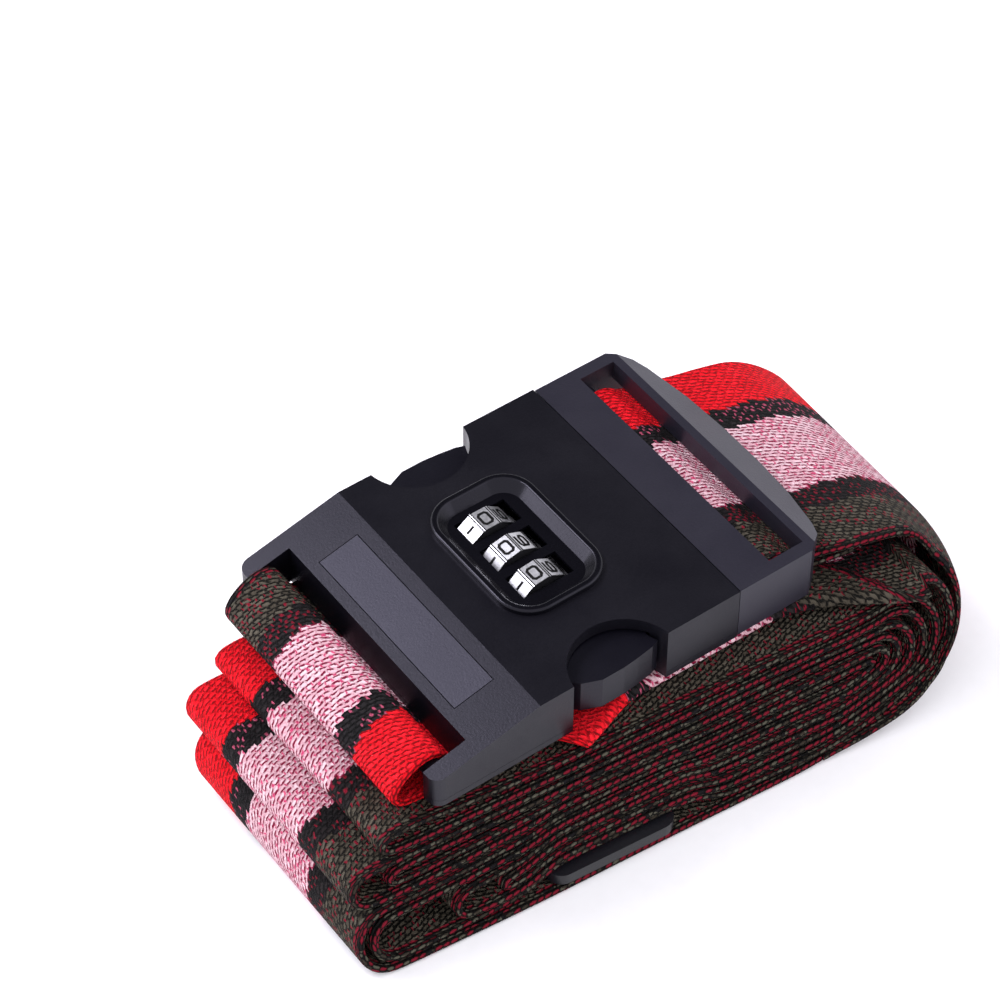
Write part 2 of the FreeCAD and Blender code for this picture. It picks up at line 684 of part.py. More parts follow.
# ---------------------------------------------------------------- webbing
def rounded_path(spots, radii):
    """A wire in the XZ plane: straight runs between spots, joined by tangent arcs."""
    side = -D["web_width"].number / 2
    places = [Vector(x, side, z) for x, z in spots]
    edges = []
    last = places[0]
    for i in range(1, len(places) - 1):
        arrive = (places[i] - places[i - 1]).normalize()
        leave = (places[i + 1] - places[i]).normalize()
        turn = arrive.getAngle(leave)
        setback = radii[i - 1] * math.tan(turn / 2)
        enter = places[i] - arrive * setback
        exit_spot = places[i] + leave * setback
        towards = (leave - arrive).normalize()
        centre = places[i] + towards * (radii[i - 1] / math.cos(turn / 2))
        middle = centre - towards * radii[i - 1]
        edges.append(Part.LineSegment(last, enter).toShape())
        edges.append(Part.Arc(enter, middle, exit_spot).toShape())
        last = exit_spot
    edges.append(Part.LineSegment(last, places[-1]).toShape())
    return Part.Wire(edges)


def web_strip(label, spots, radii, thickness, middle):
    """A flat length of webbing that follows a path, its middle at y = middle."""
    width = D["web_width"].number
    path = rounded_path(spots, radii)
    face = path.makeOffset2D(thickness, join=0, fill=True, openResult=True)
    strip = doc.addObject("Part::Feature", label)
    strip.Label = label
    strip.Shape = face.extrude(Vector(0, width, 0))
    strip.Placement = FreeCAD.Placement(Vector(0, middle, 0), FreeCAD.Rotation())
    return strip


def in_bundle(body):
    """Bind a body to the bundle's frame: turned about Z, its middle off the buckle's middle."""
    body.Placement = FreeCAD.Placement(Vector(), FreeCAD.Rotation(Vector(0, 0, 1), 5))
    stand(body, y=-D["bundle_shift"])
    bind(body, "Placement.Rotation.Angle", D["bundle_yaw"])


def webbing_bundle():
    """The folded layers as three slabs, one for each group of folds, joined at the right."""
    body = new_body("webbing_bundle", on_buckle=False)
    in_bundle(body)
    left = -D["bundle_left"]
    right = D["bundle_right"]
    top = D["bundle_top"]
    lowest = [
        (left - 1, 3.5), (left + 1.5, 0), (right - 38, 0), (right - 14, 2.5), (right - 1, 9.5),
        (right + 4.5, 13.2), (left + 5, 13.2), (left - 1, 9),
    ]
    middle = [
        (left, 15), (left + 2, 12.9), (right + 4.4, 12.9), (right + 3.4, 17.0), (right - 1, 19.5),
        (left + 2, 19.5), (left, 17.5),
    ]
    upper = [
        (left + 7, 21), (left + 8.5, 19.4), (right - 1, 19.4), (right - 4, 22.0),
        (right - 10, top), (left + 9, top), (left + 7, 22.6),
    ]
    width = D["web_width"]
    for outline, drift in ((lowest, 4.9), (middle, 1.6), (upper, -0.5)):
        sketch = polygon(body, "XZ_Plane", outline, lift=drift)
        pad(body, sketch, width, both_ways=True)
        doc.recompute()
    half = D["slider_long"] * 0.5 + 0.25
    seat_low = D["slider_low"] - 0.25
    seat_high = D["slider_low"] + D["slider_thick"] + 0.25
    seat = [
        (-D["slider_x"] - half, seat_low), (-D["slider_x"] + half, seat_low),
        (-D["slider_x"] + half, seat_high), (-D["slider_x"] - half, seat_high),
    ]
    pocket(body, polygon(body, "XZ_Plane", seat), 120, both_ways=True)
    return body


def web_slider():
    """The slider that sets the strap's length: a flat frame with three bars and two slots."""
    body = new_body("web_slider", on_buckle=False)
    in_bundle(body)
    half = D["slider_long"] * 0.5
    near, far = -D["slider_drift"] - D["slider_half"], -D["slider_drift"] + D["slider_half"]
    frame = rectangle(-D["slider_x"] - half, -D["slider_x"] + half, near, far)
    pad(body, polygon(body, "XY_Plane", frame, lift=D["slider_low"]), D["slider_thick"])
    for side in (-1, 1):
        middle = -D["slider_x"] + side * 5.4
        slot = rectangle(middle - 2.6, middle + 2.6, near + 3.2, far - 3.2)
        pocket(body, polygon(body, "XY_Plane", slot), 60, both_ways=True)

    def at_corner(edge):
        y = edge.BoundBox.YMin
        return is_upright(edge) and (y < near.number + 0.1 or y > far.number - 0.1)

    round_edges(body, 3.0, at_corner)
    return body


def webbing_twist():
    """The layer just below the buckle, where the webbing turns over."""
    body = new_body("webbing_twist", on_buckle=False)
    in_bundle(body)
    low = D["bundle_top"] + 0.1
    high = D["buckle_lift"] - 0.15
    outline = [
        (-34.5, low), (30.5, low), (33, low + 1.0), (30, high - 0.5), (26, high), (-34.5, high),
    ]
    sketch = polygon(body, "XZ_Plane", outline, lift=-1.0)
    pad(body, sketch, D["web_width"], both_ways=True)
    return body


def webbing_buckle_end():
    """The webbing's end: round the web bar, back below the buckle, and sewn to itself."""
    lift = D["buckle_lift"].number
    thick = D["web_thick"].number
    bar_x = -D["web_bar_x"].number
    bar_z = D["web_bar_z"].number
    top = lift + bar_z + D["web_bar_r"].number + 0.15
    level = lift - 0.3 - thick
    spots = [
        (-37.5, level), (bar_x + 2.4, level), (bar_x + 2.4, top), (bar_x - 6.3, top - 0.3),
        (bar_x - 5.6, level - 0.1), (-37.5, level - 0.1),
    ]
    return web_strip("webbing_buckle_end", spots, (1.9, 1.9, 3.6, 3.0), -thick, -0.4)


def webbing_plug_end():
    """The webbing through the plug: over the ladder bar, out, and round the bundle's right end."""
    lift = D["buckle_lift"].number
    thick = D["web_thick"].number
    x, z = D["ladder_x"].number, D["ladder_z"].number + lift
    around = D["ladder_r"].number + 0.15
    spots = [
        (x + 14.0, z - around - 0.9), (x - around, z - around), (x - around, z + around),
        (x + 3.0, z + around), (x + 6.0, z - 1.9), (x + 22.0, z - 2.2), (x + 39.5, z - 9.0),
        (x + 39.3, 17.0),
    ]
    return web_strip("webbing_plug_end", spots, (1.8, 1.8, 1.6, 2.0, 14.0, 7.0), thick, -1.0)


def end_stitching():
    """Two rows of stitches across the sewn end, below the buckle."""
    z = D["buckle_lift"] - 0.28
    stitches = []
    for row, x in enumerate((-42.0, -46.0)):
        for step in range(-5, 6):
            name = f"stitch_{row}_{step + 5}"
            stitches.append(block(name, (x, x + 0.5), (step * 4.2 - 1.2, step * 4.2 + 1.2),
                                  (z, z + 0.2)))
    return group("end_stitching", stitches)


# ---------------------------------------------------------------- the whole strap
def build():
    """Every sub-part, in the order in which the strap is put together."""
    parts = [
        upper_shell(), lower_cover(), label_plate(), dial_bezel(), dial_axle(),
        detent_spring(), lock_slider(), lock_spring(), reset_button(), reset_spring(),
        cover_screws(), plug_frame(), release_arm(1, "release_arm_left"),
        release_arm(-1, "release_arm_right"), webbing_bundle(), web_slider(), webbing_twist(),
        webbing_buckle_end(), webbing_plug_end(), end_stitching(),
    ]
    for number in (1, 2, 3):
        parts += [number_dial(number), code_sleeve(number)]
    return parts


def check_document():
    """Stop if any object failed to recompute."""
    for item in doc.Objects:
        if "Invalid" in item.State or "Error" in item.State:
            raise RuntimeError(f"{item.Label} failed: {item.State}")


def check_shapes(parts):
    """Stop if a sub-part has no sound shape."""
    for part in parts:
        shape = part.Shape
        if shape.isNull() or not shape.isValid() or shape.Volume <= 0:
            raise RuntimeError(f"{part.Label} has no sound shape")
        print(f"{part.Label}: {len(shape.Solids)} solid, {shape.Volume:.1f} mm3")


parts = build()
doc.recompute()
check_document()
check_shapes(parts)
os.makedirs("parts", exist_ok=True)
for part in parts:
    part.Shape.exportStep(f"parts/{part.Label}.step")
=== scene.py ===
import math

import bpy
import numpy as np
from mathutils import Matrix, Vector


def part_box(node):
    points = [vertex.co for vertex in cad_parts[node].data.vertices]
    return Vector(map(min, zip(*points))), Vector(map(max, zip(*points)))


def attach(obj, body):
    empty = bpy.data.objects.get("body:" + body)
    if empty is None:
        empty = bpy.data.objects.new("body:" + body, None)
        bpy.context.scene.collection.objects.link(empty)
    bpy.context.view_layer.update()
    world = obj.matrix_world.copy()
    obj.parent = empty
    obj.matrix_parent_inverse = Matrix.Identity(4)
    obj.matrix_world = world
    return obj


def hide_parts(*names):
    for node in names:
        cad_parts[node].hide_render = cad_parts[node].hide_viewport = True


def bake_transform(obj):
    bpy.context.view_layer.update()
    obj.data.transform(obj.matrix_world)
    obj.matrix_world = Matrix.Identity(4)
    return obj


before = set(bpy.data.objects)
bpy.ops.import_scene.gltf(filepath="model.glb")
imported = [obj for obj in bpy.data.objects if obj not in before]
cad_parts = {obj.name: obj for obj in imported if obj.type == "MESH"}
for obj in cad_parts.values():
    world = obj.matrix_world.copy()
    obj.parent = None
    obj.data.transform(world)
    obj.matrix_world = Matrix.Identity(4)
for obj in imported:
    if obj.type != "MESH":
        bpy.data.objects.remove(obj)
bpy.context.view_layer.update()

MM = 0.001
random = np.random.default_rng(7)


# ---------------------------------------------------------------- shader helpers
class Graph:
    """A material's node tree, with each step written as a call that returns a socket."""

    def __init__(self, name):
        self.material = bpy.data.materials.new(name)
        self.material.use_nodes = True
        self.tree = self.material.node_tree
        self.shader = self.tree.nodes["Principled BSDF"]

    def feed(self, socket, value):
        """Link a socket to the input, or set the input to a number or colour."""
        if isinstance(value, bpy.types.NodeSocket):
            self.tree.links.new(value, socket)
        elif value is not None:
            socket.default_value = value

    def math(self, operation, a, b=None, c=None):
        node = self.tree.nodes.new("ShaderNodeMath")
        node.operation = operation
        for socket, value in zip(node.inputs, (a, b, c)):
            self.feed(socket, value)
        return node.outputs[0]

    def noise(self, vector, scale, detail=2.0, roughness=0.5):
        node = self.tree.nodes.new("ShaderNodeTexNoise")
        self.feed(node.inputs["Vector"], vector)
        self.feed(node.inputs["Scale"], scale)
        self.feed(node.inputs["Detail"], detail)
        self.feed(node.inputs["Roughness"], roughness)
        return node.outputs["Fac"]

    def white(self, vector):
        node = self.tree.nodes.new("ShaderNodeTexWhiteNoise")
        node.noise_dimensions = "3D"
        self.feed(node.inputs["Vector"], vector)
        return node.outputs["Value"]

    def combine(self, x, y, z=0.0):
        node = self.tree.nodes.new("ShaderNodeCombineXYZ")
        for socket, value in zip(node.inputs, (x, y, z)):
            self.feed(socket, value)
        return node.outputs[0]

    def split(self, vector):
        node = self.tree.nodes.new("ShaderNodeSeparateXYZ")
        self.feed(node.inputs[0], vector)
        return node.outputs[0], node.outputs[1], node.outputs[2]

    def ramp(self, factor, stops, constant=False):
        """A colour ramp from (place, colour) pairs."""
        node = self.tree.nodes.new("ShaderNodeValToRGB")
        node.color_ramp.interpolation = "CONSTANT" if constant else "LINEAR"
        elements = node.color_ramp.elements
        while len(elements) > 1:
            elements.remove(elements[-1])
        for i, (place, colour) in enumerate(stops):
            element = elements[0] if i == 0 else elements.new(place)
            element.position = place
            element.color = (*colour, 1.0)
        self.feed(node.inputs[0], factor)
        return node.outputs[0]

    def mix(self, factor, a, b):
        """Between two colours."""
        node = self.tree.nodes.new("ShaderNodeMix")
        node.data_type = "RGBA"
        self.feed(node.inputs["Factor"], factor)
        for name, value in (("A", a), ("B", b)):
            socket = [s for s in node.inputs if s.name == name and s.type == "RGBA"][0]
            self.feed(socket, value)
        return [s for s in node.outputs if s.type == "RGBA"][0]

    def between(self, factor, a, b):
        """Between two numbers."""
        node = self.tree.nodes.new("ShaderNodeMix")
        for socket, value in zip(node.inputs[:1] + node.inputs[2:4], (factor, a, b)):
            self.feed(socket, value)
        return node.outputs[0]

    def map_range(self, value, low, high, to_low=0.0, to_high=1.0):
        node = self.tree.nodes.new("ShaderNodeMapRange")
        for socket, number in zip(node.inputs, (value, low, high, to_low, to_high)):
            self.feed(socket, number)
        return node.outputs[0]

    def bump(self, height, distance, strength=1.0, under=None):
        node = self.tree.nodes.new("ShaderNodeBump")
        self.feed(node.inputs["Height"], height)
        self.feed(node.inputs["Distance"], distance)
        self.feed(node.inputs["Strength"], strength)
        self.feed(node.inputs["Normal"], under)
        return node.outputs[0]

    def surface(self, **inputs):
        names = {"colour": "Base Color", "rough": "Roughness", "metal": "Metallic",
                 "normal": "Normal", "shine": "Specular IOR Level",
                 "shine_tint": "Specular Tint"}
        for key, value in inputs.items():
            self.feed(self.shader.inputs[names[key]], value)
        return self.material

    def place(self, kind="Object"):
        return self.tree.nodes.new("ShaderNodeTexCoord").outputs[kind]


# Scales of the plastics' and the steel's noise and rings, per metre.
GRAIN_FINE, GRAIN_BROAD, STEEL_FINE, STEEL_RINGS = 2600.0, 90.0, 3000.0, 24000.0


def plastic(name, colour, rough, grain=0.012, shine=0.5, tint=(1, 1, 1)):
    """Moulded plastic with a fine spark-eroded grain and slightly uneven shine."""
    g = Graph(name)
    at = g.place()
    fine = g.noise(at, GRAIN_FINE, 3.0, 0.6)
    broad = g.noise(at, GRAIN_BROAD, 2.0)
    shade = g.map_range(broad, 0.3, 0.7, 0.9, 1.1)
    dark = tuple(c * 0.85 for c in colour)
    face = g.mix(g.map_range(fine, 0.3, 0.7), (*dark, 1), (*colour, 1))
    uneven = g.math("MULTIPLY", g.map_range(fine, 0.2, 0.8, rough * 0.9, rough * 1.12), shade)
    return g.surface(colour=face, rough=uneven, shine=shine, shine_tint=(*tint, 1),
                     normal=g.bump(fine, grain * MM * 2))


def steel(name, colour=(0.55, 0.55, 0.57), rough=0.3):
    """Drawn or turned steel with faint rings."""
    g = Graph(name)
    at = g.place()
    y = g.split(at)[1]
    rings = g.math("SINE", g.math("MULTIPLY", y, STEEL_RINGS))
    fine = g.noise(at, STEEL_FINE, 2.0)
    marks = g.math("ADD", g.math("MULTIPLY", rings, 0.3), fine)
    return g.surface(colour=(*colour, 1), metal=1.0,
                     rough=g.map_range(fine, 0.2, 0.8, rough * 0.8, rough * 1.3),
                     normal=g.bump(marks, 0.01 * MM))


# ---------------------------------------------------------------- webbing material
# Linear colours. The stripes run from the red selvedge to the olive one, and each table below
# has one entry for each stripe.
RED = (0.70, 0.003, 0.010)
BLACK = (0.007, 0.006, 0.007)
PINK = (0.60, 0.27, 0.33)
OLIVE = (0.034, 0.027, 0.019)
PALE_OLIVE = (0.085, 0.08, 0.058)
CRIMSON = (0.18, 0.006, 0.018)
STRIPE_STARTS = (0.0, 0.23, 0.33, 0.69, 0.79)
# YARN_IN_SHADE and YARN_IN_LIGHT are shaded and lit copies of each stripe's yarn: painted shade at
# a yarn's sides, painted highlight at its crown.
YARN_IN_SHADE = (RED, BLACK, PINK, BLACK, OLIVE)
YARN_IN_LIGHT = ((0.96, 0.012, 0.024), (0.020, 0.017, 0.018), (0.80, 0.60, 0.64),
                 (0.022, 0.018, 0.018), (0.100, 0.088, 0.066))
GAP = ((0.20, 0.001, 0.003), (0.002, 0.002, 0.002), (0.18, 0.004, 0.030),
       (0.002, 0.002, 0.002), (0.004, 0.004, 0.003))
FLECK = ((0.40, 0.002, 0.006), (0.42, 0.07, 0.13), (0.55, 0.06, 0.15), CRIMSON, CRIMSON)
FLECK_SHARE = (0.4, 0.3, 0.4, 0.45, 0.26)
END_GAP_SHOWS = (0.35, 0.7, 0.0, 0.7, 0.95)

# Millimetres: the webbing's width, a yarn's float, a selvedge strand, and the edges' places.
WIDTH = 50.0
YARN_WIDE, YARN_LONG, YARN_SLANT = 0.88, 1.4, 0.34
STRAND_WIDE, STRAND_LONG, STRAND_SLANT = 0.74, 1.5, 0.42
RED_EDGE, OLIVE_EDGE = (0.75, 0.55), (48.1, 48.4)
OLIVE_EDGE_MIDDLE = 50.4


def stripes(g, place, colours):
    """One colour for each stripe of the webbing, from the red selvedge to the olive one."""
    return g.ramp(place, list(zip(STRIPE_STARTS, colours)), constant=True)


def stripe_numbers(g, place, values):
    """One number for each stripe."""
    return g.split(stripes(g, place, [(value, 0, 0) for value in values]))[0]


def centred(g, value):
    """Where a value is in its cell, from -0.5 to 0.5."""
    return g.math("SUBTRACT", g.math("FRACT", value), 0.5)


def fall_off(g, distance, power):
    """1 at a cell's middle and 0 at its edge, half a cell away."""
    return g.math("SUBTRACT", 1.0, g.math("POWER", g.math("MULTIPLY", distance, 2.0), power))


def flat_weave(g, u, s, s_skewed, fray):
    """The staggered slanted yarns: their colour, their height and a random number for each."""
    across = g.math("DIVIDE", g.math("MULTIPLY_ADD", s, -YARN_SLANT, u), YARN_WIDE)
    column = g.math("FLOOR", across)
    stagger = g.math("MULTIPLY", column, 0.5)
    along = g.math("ADD", g.math("DIVIDE", s_skewed, YARN_LONG), stagger)
    row = g.math("FLOOR", along)
    chance = g.white(g.combine(column, row))
    other_chance = g.white(g.combine(row, column, 3.7))

    # A yarn takes its stripe from its own centre, so the stripes have stepped borders.
    centre_s = g.math("MULTIPLY", g.math("SUBTRACT", g.math("ADD", row, 0.5), stagger), YARN_LONG)
    centre_u = g.math("ADD", g.math("MULTIPLY", g.math("ADD", column, 0.5), YARN_WIDE),
                      g.math("MULTIPLY", centre_s, YARN_SLANT))
    stripe = g.math("DIVIDE", centre_u, WIDTH)

    side, end = centred(g, across), centred(g, along)
    side_size, end_size = g.math("ABSOLUTE", side), g.math("ABSOLUTE", end)
    frayed_end = g.math("ADD", end_size, fray)
    side_gap = g.math("MULTIPLY", g.map_range(g.math("ADD", side, fray), 0.05, 0.22),
                      g.map_range(frayed_end, 0.42, 0.26))
    end_gap = g.math("MULTIPLY", g.map_range(frayed_end, 0.25, 0.40),
                     g.map_range(side_size, 0.46, 0.30))
    dome = g.math("MULTIPLY", fall_off(g, side_size, 2.5), fall_off(g, end_size, 4.0))
    dome = g.math("MULTIPLY", g.math("MULTIPLY_ADD", dome, 0.45, 0.55),
                  g.math("MULTIPLY_ADD", side_gap, -0.8, 1.0))
    plies = g.math("SINE", g.math("ADD", g.math("MULTIPLY", end, 22.0),
                                  g.math("MULTIPLY", side, 16.0)))
    height = g.math("MULTIPLY_ADD", plies, 0.07, dome)

    gap = stripes(g, stripe, GAP)
    # Painted highlight: each yarn runs from its shaded copy at its sides to its lit copy at its
    # crown, stronger or weaker at random for each yarn.
    yarn = g.mix(g.math("MULTIPLY", dome, g.map_range(chance, 0.0, 1.0, 0.25, 1.0)),
                 stripes(g, stripe, YARN_IN_SHADE), stripes(g, stripe, YARN_IN_LIGHT))
    has_fleck = g.math("LESS_THAN", other_chance, stripe_numbers(g, stripe, FLECK_SHARE))
    in_end_gap = g.mix(has_fleck, gap, stripes(g, stripe, FLECK))
    shows = g.math("MAXIMUM", stripe_numbers(g, stripe, END_GAP_SHOWS), has_fleck)
    face = g.mix(g.math("MULTIPLY", end_gap, shows), g.mix(side_gap, yarn, gap), in_end_gap)
    return face, height, other_chance


def selvedge(g, u, s_skewed, fray, other_chance):
    """The roped edges: their colour, with painted shade between stacked layers along the olive one,
    and their height.
    """
    rise = g.math("DIVIDE", u, STRAND_WIDE)
    level = g.math("FLOOR", rise)
    rope = g.math("ADD", g.math("MULTIPLY_ADD", u, STRAND_SLANT,
                                g.math("DIVIDE", s_skewed, STRAND_LONG)),
                  g.math("MULTIPLY", level, 0.5))
    strand = g.math("FLOOR", rope)
    long_way = g.math("MULTIPLY", g.math("ABSOLUTE", centred(g, rope)), 2.0)
    wide_way = g.math("MULTIPLY", centred(g, rise), 2.0)
    from_centre = g.math("SQRT", g.math("MULTIPLY_ADD", wide_way, wide_way,
                                        g.math("POWER", long_way, 2.0)))

    # Every second level of strands holds most of the crimson.
    crimson_share = g.math("MULTIPLY_ADD", g.math("MODULO", level, 2.0), 0.45, 0.25)
    is_crimson = g.math("LESS_THAN", g.white(g.combine(strand, level, 1.3)), crimson_share)
    plain = g.ramp(other_chance, [(0.0, OLIVE), (0.40, BLACK), (0.62, PALE_OLIVE)], constant=True)
    red_side = g.math("LESS_THAN", u, WIDTH / 2)
    colour = g.mix(red_side, g.mix(is_crimson, plain, (*CRIMSON, 1)), (*RED, 1))
    # The colour of the gaps between strands, also used for the painted shade between layers below.
    gap_and_painted_shade_colour = g.mix(red_side, (0.004, 0.0035, 0.003, 1), (0.26, 0.001, 0.004, 1))
    gap = g.map_range(g.math("ADD", from_centre, g.math("MULTIPLY", fray, 1.4)), 0.66, 0.98)
    # Painted shade: the olive edge is darkened where its rounding meets the flat sides, as between
    # stacked layers.
    from_middle = g.math("ABSOLUTE", g.math("SUBTRACT", u, OLIVE_EDGE_MIDDLE))
    painted_layer_shade = g.math("MULTIPLY", g.map_range(from_middle, 0.70, 1.02),
                  g.map_range(from_middle, 1.30, 1.12))
    height = g.math("SUBTRACT", 1.0, g.math("POWER", from_centre, 2.0))
    return g.mix(g.math("MAXIMUM", gap, painted_layer_shade), colour, gap_and_painted_shade_colour), height


def webbing_material():
    """Woven stripes between roped selvedges. The map is in units of the webbing's width."""
    g = Graph("webbing_weave")
    u, s = (g.math("MULTIPLY", place, WIDTH) for place in g.split(g.place("UV"))[:2])
    here = g.combine(u, s)
    drift = g.math("SUBTRACT", g.noise(here, 0.45, 3.0, 0.6), 0.5)
    skew = g.math("SUBTRACT", g.noise(g.combine(s, u), 0.5, 2.0), 0.5)
    s_skewed = g.math("MULTIPLY_ADD", skew, 1.2, s)
    fray = g.math("MULTIPLY_ADD", g.noise(here, 2.3, 2.0, 0.6), 0.5, -0.25)
    face, height, other_chance = flat_weave(g, g.math("MULTIPLY_ADD", drift, 1.5, u), s, s_skewed,
                                            fray)
    edge_face, edge_height = selvedge(g, u, s_skewed, fray, other_chance)
    on_edge = g.math("MAXIMUM", g.map_range(u, *RED_EDGE), g.map_range(u, *OLIVE_EDGE))
    fuzz = g.noise(here, 9.0, 3.0, 0.7)
    relief = g.bump(g.between(on_edge, height, edge_height), 0.5 * MM, 1.0)
    return g.surface(colour=g.mix(on_edge, face, edge_face), shine=0.10,
                     rough=g.map_range(fuzz, 0.2, 0.8, 0.65, 0.85),
                     normal=g.bump(fuzz, 0.04 * MM, 0.5, relief))


# ---------------------------------------------------------------- mesh helpers
def mesh_object(name, points, faces, material, smooth=True):
    """A mesh object from points in metres."""
    mesh = bpy.data.meshes.new(name)
    mesh.from_pydata([tuple(p) for p in points], [], faces)
    mesh.validate()
    mesh.update()
    thing = bpy.data.objects.new(name, mesh)
    bpy.context.scene.collection.objects.link(thing)
    mesh.materials.append(material)
    for polygon in mesh.polygons:
        polygon.use_smooth = smooth
    return thing


def spline(points, step):
    """Points on a smooth curve through the given ones, about step apart, as an array."""
    points = np.asarray(points, float)
    padded = np.vstack([2 * points[0] - points[1], points, 2 * points[-1] - points[-2]])
    curve = []
    for i in range(1, len(padded) - 2):
        p0, p1, p2, p3 = padded[i - 1:i + 3]
        t0 = 0.0
        t1 = t0 + np.linalg.norm(p1 - p0) ** 0.5
        t2 = t1 + np.linalg.norm(p2 - p1) ** 0.5
        t3 = t2 + np.linalg.norm(p3 - p2) ** 0.5
        count = max(2, int(np.linalg.norm(p2 - p1) / step * 3))
        for t in np.linspace(t1, t2, count, endpoint=False):
            a1 = (t1 - t) / (t1 - t0) * p0 + (t - t0) / (t1 - t0) * p1
            a2 = (t2 - t) / (t2 - t1) * p1 + (t - t1) / (t2 - t1) * p2
            a3 = (t3 - t) / (t3 - t2) * p2 + (t - t2) / (t3 - t2) * p3
            b1 = (t2 - t) / (t2 - t0) * a1 + (t - t0) / (t2 - t0) * a2
            b2 = (t3 - t) / (t3 - t1) * a2 + (t - t1) / (t3 - t1) * a3
            curve.append((t2 - t) / (t2 - t1) * b1 + (t - t1) / (t2 - t1) * b2)
    curve.append(points[-1])
    return even(np.array(curve), step)


def arc_lengths(points):
    return np.concatenate([[0], np.cumsum(np.linalg.norm(np.diff(points, axis=0), axis=1))])


def even(points, step):
    """The same polyline with its points about step apart."""
    length = arc_lengths(points)
    places = np.linspace(0, length[-1], max(2, int(length[-1] / step)))
    return np.stack([np.interp(places, length, column) for column in points.T], 1)


def smoothed(values, window):
    """A moving average that keeps its ends."""
    window = max(1, int(window))
    kernel = np.ones(window) / window
    padded = np.pad(values, (window, window), mode="edge")
    return np.convolve(padded, kernel, mode="same")[window:-window]


# ---------------------------------------------------------------- webbing sections
# Millimetres. The flat sides are split into SPLITS across, and each rounded edge into ARC.
HALF_WIDTH = WIDTH / 2
HALF_THICK = 0.69
FLAT = HALF_WIDTH - HALF_THICK
SPLITS = 30
ARC = 5


def section_outline(across):
    """The webbing's outline as (across, through) points, from the flat sides' across values."""
    points = [(a, HALF_THICK) for a in across]
    for k in range(1, ARC):
        angle = math.pi / 2 - math.pi * k / ARC
        points.append((FLAT + HALF_THICK * math.cos(angle), HALF_THICK * math.sin(angle)))
    points += [(a, -HALF_THICK) for a in across[::-1]]
    for k in range(1, ARC):
        angle = -math.pi / 2 - math.pi * k / ARC
        points.append((-FLAT + HALF_THICK * math.cos(angle), HALF_THICK * math.sin(angle)))
    return np.array(points)


def outline_map(across):
    """Each outline side's place across the weave, at its start and at its end."""
    run = math.pi * HALF_THICK / ARC
    flat_sides = [(HALF_WIDTH - a, HALF_WIDTH - b) for a, b in zip(across[:-1], across[1:])]
    red_edge = [(HALF_THICK - run * k, HALF_THICK - run * (k + 1)) for k in range(ARC)]
    olive_edge = [(HALF_WIDTH + FLAT + run * (ARC - k), HALF_WIDTH + FLAT + run * (ARC - k - 1))
                  for k in range(ARC)]
    back_sides = [(b, a) for a, b in flat_sides[::-1]]
    return flat_sides + red_edge + back_sides + olive_edge


EVEN = np.linspace(-FLAT, FLAT, SPLITS + 1)
FINE = np.linspace(-FLAT, FLAT, 600)


def gathered(place, crowding=9, reach=1.7):
    """Across values that crowd round a crease, so that its tight bend stays smooth."""
    weight = 1 + crowding * np.exp(-((FINE - place) / reach) ** 2)
    total = np.concatenate([[0], np.cumsum((weight[1:] + weight[:-1]) / 2)])
    return np.interp(np.linspace(0, total[-1], SPLITS + 1), total, FINE)


def strip_object(name, sections, across, along, material):
    """A closed strip from its outlines (stations, outline points, 3), in millimetres."""
    stations, count, unused = sections.shape
    points = sections.reshape(-1, 3) * MM
    sides = [outline_map(values) for values in across]
    faces = []
    maps = []
    for i in range(stations - 1):
        for k in range(count):
            after = (k + 1) % count
            faces.append((i * count + k, i * count + after,
                          (i + 1) * count + after, (i + 1) * count + k))
            here, there = sides[i][k], sides[i + 1][k]
            maps += [(here[0], along[i]), (here[1], along[i]),
                     (there[1], along[i + 1]), (there[0], along[i + 1])]
    ends = [tuple(range(count))[::-1], tuple((stations - 1) * count + k for k in range(count))]
    for end, place in zip(ends, (0, stations - 1)):
        outline = section_outline(across[place])
        faces.append(end)
        for corner in end:
            a, b = outline[corner % count]
            maps.append((HALF_WIDTH - a, along[place] + b))
    mesh = bpy.data.meshes.new(name)
    mesh.from_pydata([tuple(p) for p in points], [], faces)
    layer = mesh.uv_layers.new(name="UVMap")
    layer.data.foreach_set("uv", (np.array(maps) / WIDTH).astype(np.float32).ravel())
    mesh.update()
    thing = bpy.data.objects.new(name, mesh)
    bpy.context.scene.collection.objects.link(thing)
    mesh.materials.append(material)
    for polygon in mesh.polygons:
        polygon.use_smooth = len(polygon.vertices) == 4
    return thing


def flow(points):
    """Unit tangents of a polyline."""
    tangent = np.gradient(points, axis=0)
    return tangent / np.linalg.norm(tangent, axis=1, keepdims=True)


def wave(length, period, size):
    """Slow random drift along a length, in millimetres."""
    knots = np.arange(0, length[-1] + 2 * period, period)
    values = random.uniform(-size, size, len(knots))
    return smoothed(np.interp(length, knots, values), max(3, period * 0.6))


# ---------------------------------------------------------------- how the strap lies
# Millimetres. The layers are numbered from the top; 2 is the creased one under the buckle.
# Heights of each folded layer at its left end, middle and right end.
LAYERS = {
    3: (24.9, 23.3, 23.0), 4: (21.8, 21.6, 21.3), 5: (19.7, 19.7, 19.7), 6: (17.85, 18.1, 18.1),
    7: (15.5, 16.4, 16.4), 8: (13.6, 14.7, 14.8), 9: (12.3, 13.0, 12.4), 10: (10.5, 11.3, 10.7),
    11: (7.8, 9.5, 9.0), 12: (7.0, 7.8, 7.4), 13: (5.3, 6.1, 5.7), 14: (3.6, 4.4, 4.0),
    15: (2.4, 2.6, 2.4), 16: (0.72, 0.72, 0.72),
}
